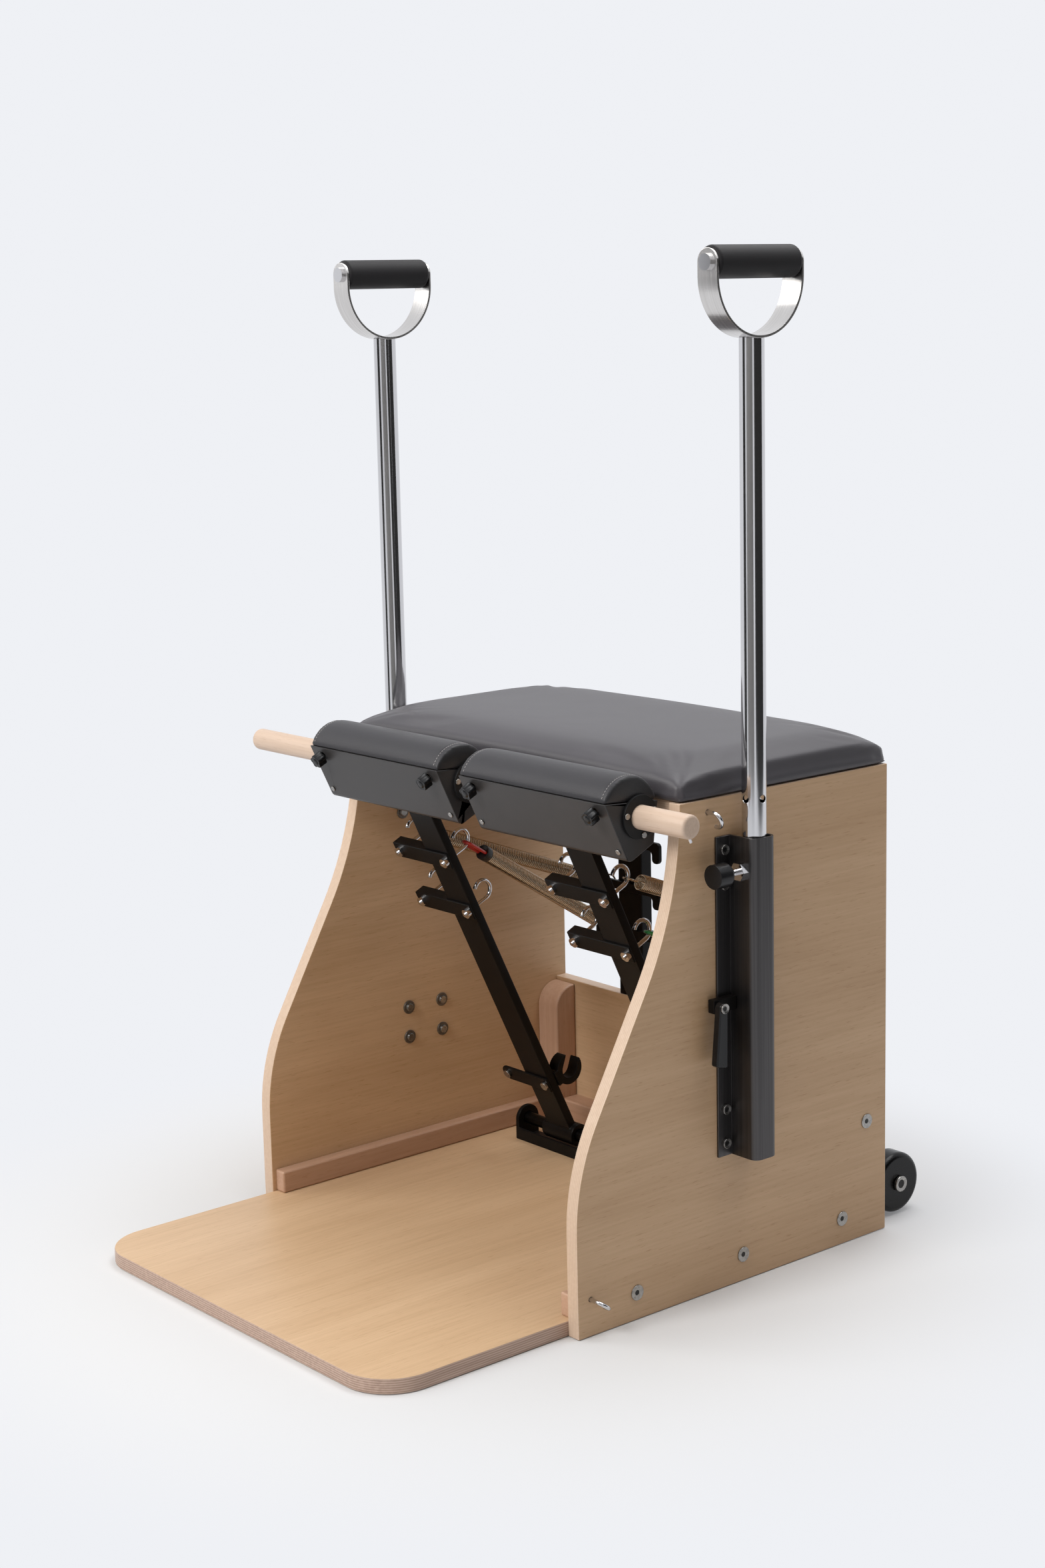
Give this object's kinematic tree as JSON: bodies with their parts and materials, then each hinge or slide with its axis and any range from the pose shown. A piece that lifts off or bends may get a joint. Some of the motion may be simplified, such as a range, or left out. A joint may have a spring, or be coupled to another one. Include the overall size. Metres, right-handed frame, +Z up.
{
  "type": "pilates chair",
  "caption": "Plywood pilates chair with a padded seat, split sprung pedals joined by a dowel, and height-set chrome poles that end in hand grips.",
  "frame": {"origin": "middle of the footboard's underside, on the floor", "axes": "+X to the right as seen from the front, +Y to the back, +Z up"},
  "size_m": [0.819, 0.848, 1.182],
  "materials": {
    "plywood": "satin lacquer",
    "dowel_wood": "satin lacquer",
    "upholstery": "grained",
    "black_steel": "satin powder coat",
    "grey_steel": "satin powder coat",
    "chrome": "polished",
    "zinc": "zinc plated",
    "spring_steel": "oiled",
    "red_paint": "gloss",
    "green_paint": "gloss",
    "black_plastic": "fine texture",
    "foam": "matt",
    "black_rubber": "matt"
  },
  "bodies": {
    "frame": {"side_panel_left": "plywood", "side_panel_right": "plywood", "footboard": "plywood", "back_panel": "plywood", "floor_rails": "plywood", "back_battens": "plywood", "rear_cross_rail": "plywood", "seat_board": "plywood", "seat_cushion": "upholstery", "panel_screws": "zinc", "pole_sleeves": "grey_steel", "sleeve_bolts": "zinc", "plunger_barrels": "zinc", "clamp_blocks": "black_steel", "screw_hooks": "zinc", "pivot_base": "black_steel", "pivot_shaft": "zinc", "rest_buttons": "black_rubber", "spring_rack_left": "black_steel", "spring_rack_right": "black_steel", "spring_left_inner": "spring_steel", "spring_left_outer": "spring_steel", "spring_right_upper": "spring_steel", "spring_right_lower": "spring_steel", "spring_link_left": "red_paint", "spring_link_right": "green_paint", "wheel_brackets": "black_steel", "wheel_axles": "zinc"},
    "pole_left": {"pole_left": "chrome", "grip_strap_left": "chrome", "hand_grip_left": "foam", "grip_screws_left": "chrome"},
    "pin_left": {"pull_pin_left": "black_plastic"},
    "lever_left": {"cam_lever_left": "black_plastic"},
    "pedal_left": {"pedal_arm_left": "black_steel", "arm_brackets_left": "black_steel", "arm_hooks_left": "zinc", "pedal_box_left": "grey_steel", "pedal_pad_left": "upholstery", "end_collars_left": "black_plastic", "hand_knobs_left": "black_plastic", "pedal_screws_left": "zinc"},
    "wheel_left": {"wheel_left": "black_rubber"},
    "pole_right": {"pole_right": "chrome", "grip_strap_right": "chrome", "hand_grip_right": "foam", "grip_screws_right": "chrome"},
    "pin_right": {"pull_pin_right": "black_plastic"},
    "lever_right": {"cam_lever_right": "black_plastic"},
    "pedal_right": {"pedal_arm_right": "black_steel", "arm_brackets_right": "black_steel", "arm_hooks_right": "zinc", "pedal_box_right": "grey_steel", "pedal_pad_right": "upholstery", "end_collars_right": "black_plastic", "hand_knobs_right": "black_plastic", "pedal_screws_right": "zinc"},
    "wheel_right": {"wheel_right": "black_rubber"},
    "dowel": {"dowel": "dowel_wood", "dowel_pin": "zinc"}
  },
  "joints": [
    {"name": "pedal_swing_left", "type": "hinge", "parent": "frame", "child": "pedal_left", "pos_m": [-0.148, 0.254, 0.045], "axis": [1, 0, 0], "range_deg": [0, 55], "stiffness_Nm_per_rad": 40, "springref_deg": -51.57, "deforming": ["spring_left_inner", "spring_left_outer", "spring_link_left"]},
    {"name": "pedal_swing_right", "type": "hinge", "parent": "frame", "child": "pedal_right", "pos_m": [0.148, 0.254, 0.045], "axis": [1, 0, 0], "range_deg": [0, 55], "stiffness_Nm_per_rad": 40, "springref_deg": -51.57, "deforming": ["spring_right_upper", "spring_right_lower", "spring_link_right"]},
    {"name": "dowel_slide", "type": "slide", "parent": "pedal_left", "child": "dowel", "axis": [1, 0, 0], "range_m": [-0.06, 0.1]},
    {"name": "pole_slide_left", "type": "slide", "parent": "frame", "child": "pole_left", "axis": [0, 0, 1], "range_m": [-0.081, 0.162]},
    {"name": "pin_slide_left", "type": "slide", "parent": "frame", "child": "pin_left", "axis": [0, 1, 0], "range_m": [0, 0.014]},
    {"name": "lever_swing_left", "type": "hinge", "parent": "frame", "child": "lever_left", "pos_m": [-0.3223, 0.085, 0.343], "axis": [-1, 0, 0], "range_deg": [0, 100]},
    {"name": "wheel_spin_left", "type": "hinge", "parent": "frame", "child": "wheel_left", "pos_m": [-0.27, 0.429, 0.04], "axis": [1, 0, 0], "continuous": true},
    {"name": "pole_slide_right", "type": "slide", "parent": "frame", "child": "pole_right", "axis": [0, 0, 1], "range_m": [-0.081, 0.162]},
    {"name": "pin_slide_right", "type": "slide", "parent": "frame", "child": "pin_right", "axis": [0, 1, 0], "range_m": [0, 0.014]},
    {"name": "lever_swing_right", "type": "hinge", "parent": "frame", "child": "lever_right", "pos_m": [0.3223, 0.085, 0.343], "axis": [-1, 0, 0], "range_deg": [0, 100]},
    {"name": "wheel_spin_right", "type": "hinge", "parent": "frame", "child": "wheel_right", "pos_m": [0.27, 0.429, 0.04], "axis": [1, 0, 0], "continuous": true}
  ],
  "couplings": [
    {"joint": "pedal_swing_right", "follows": "pedal_swing_left", "ratio": 1}
  ]
}
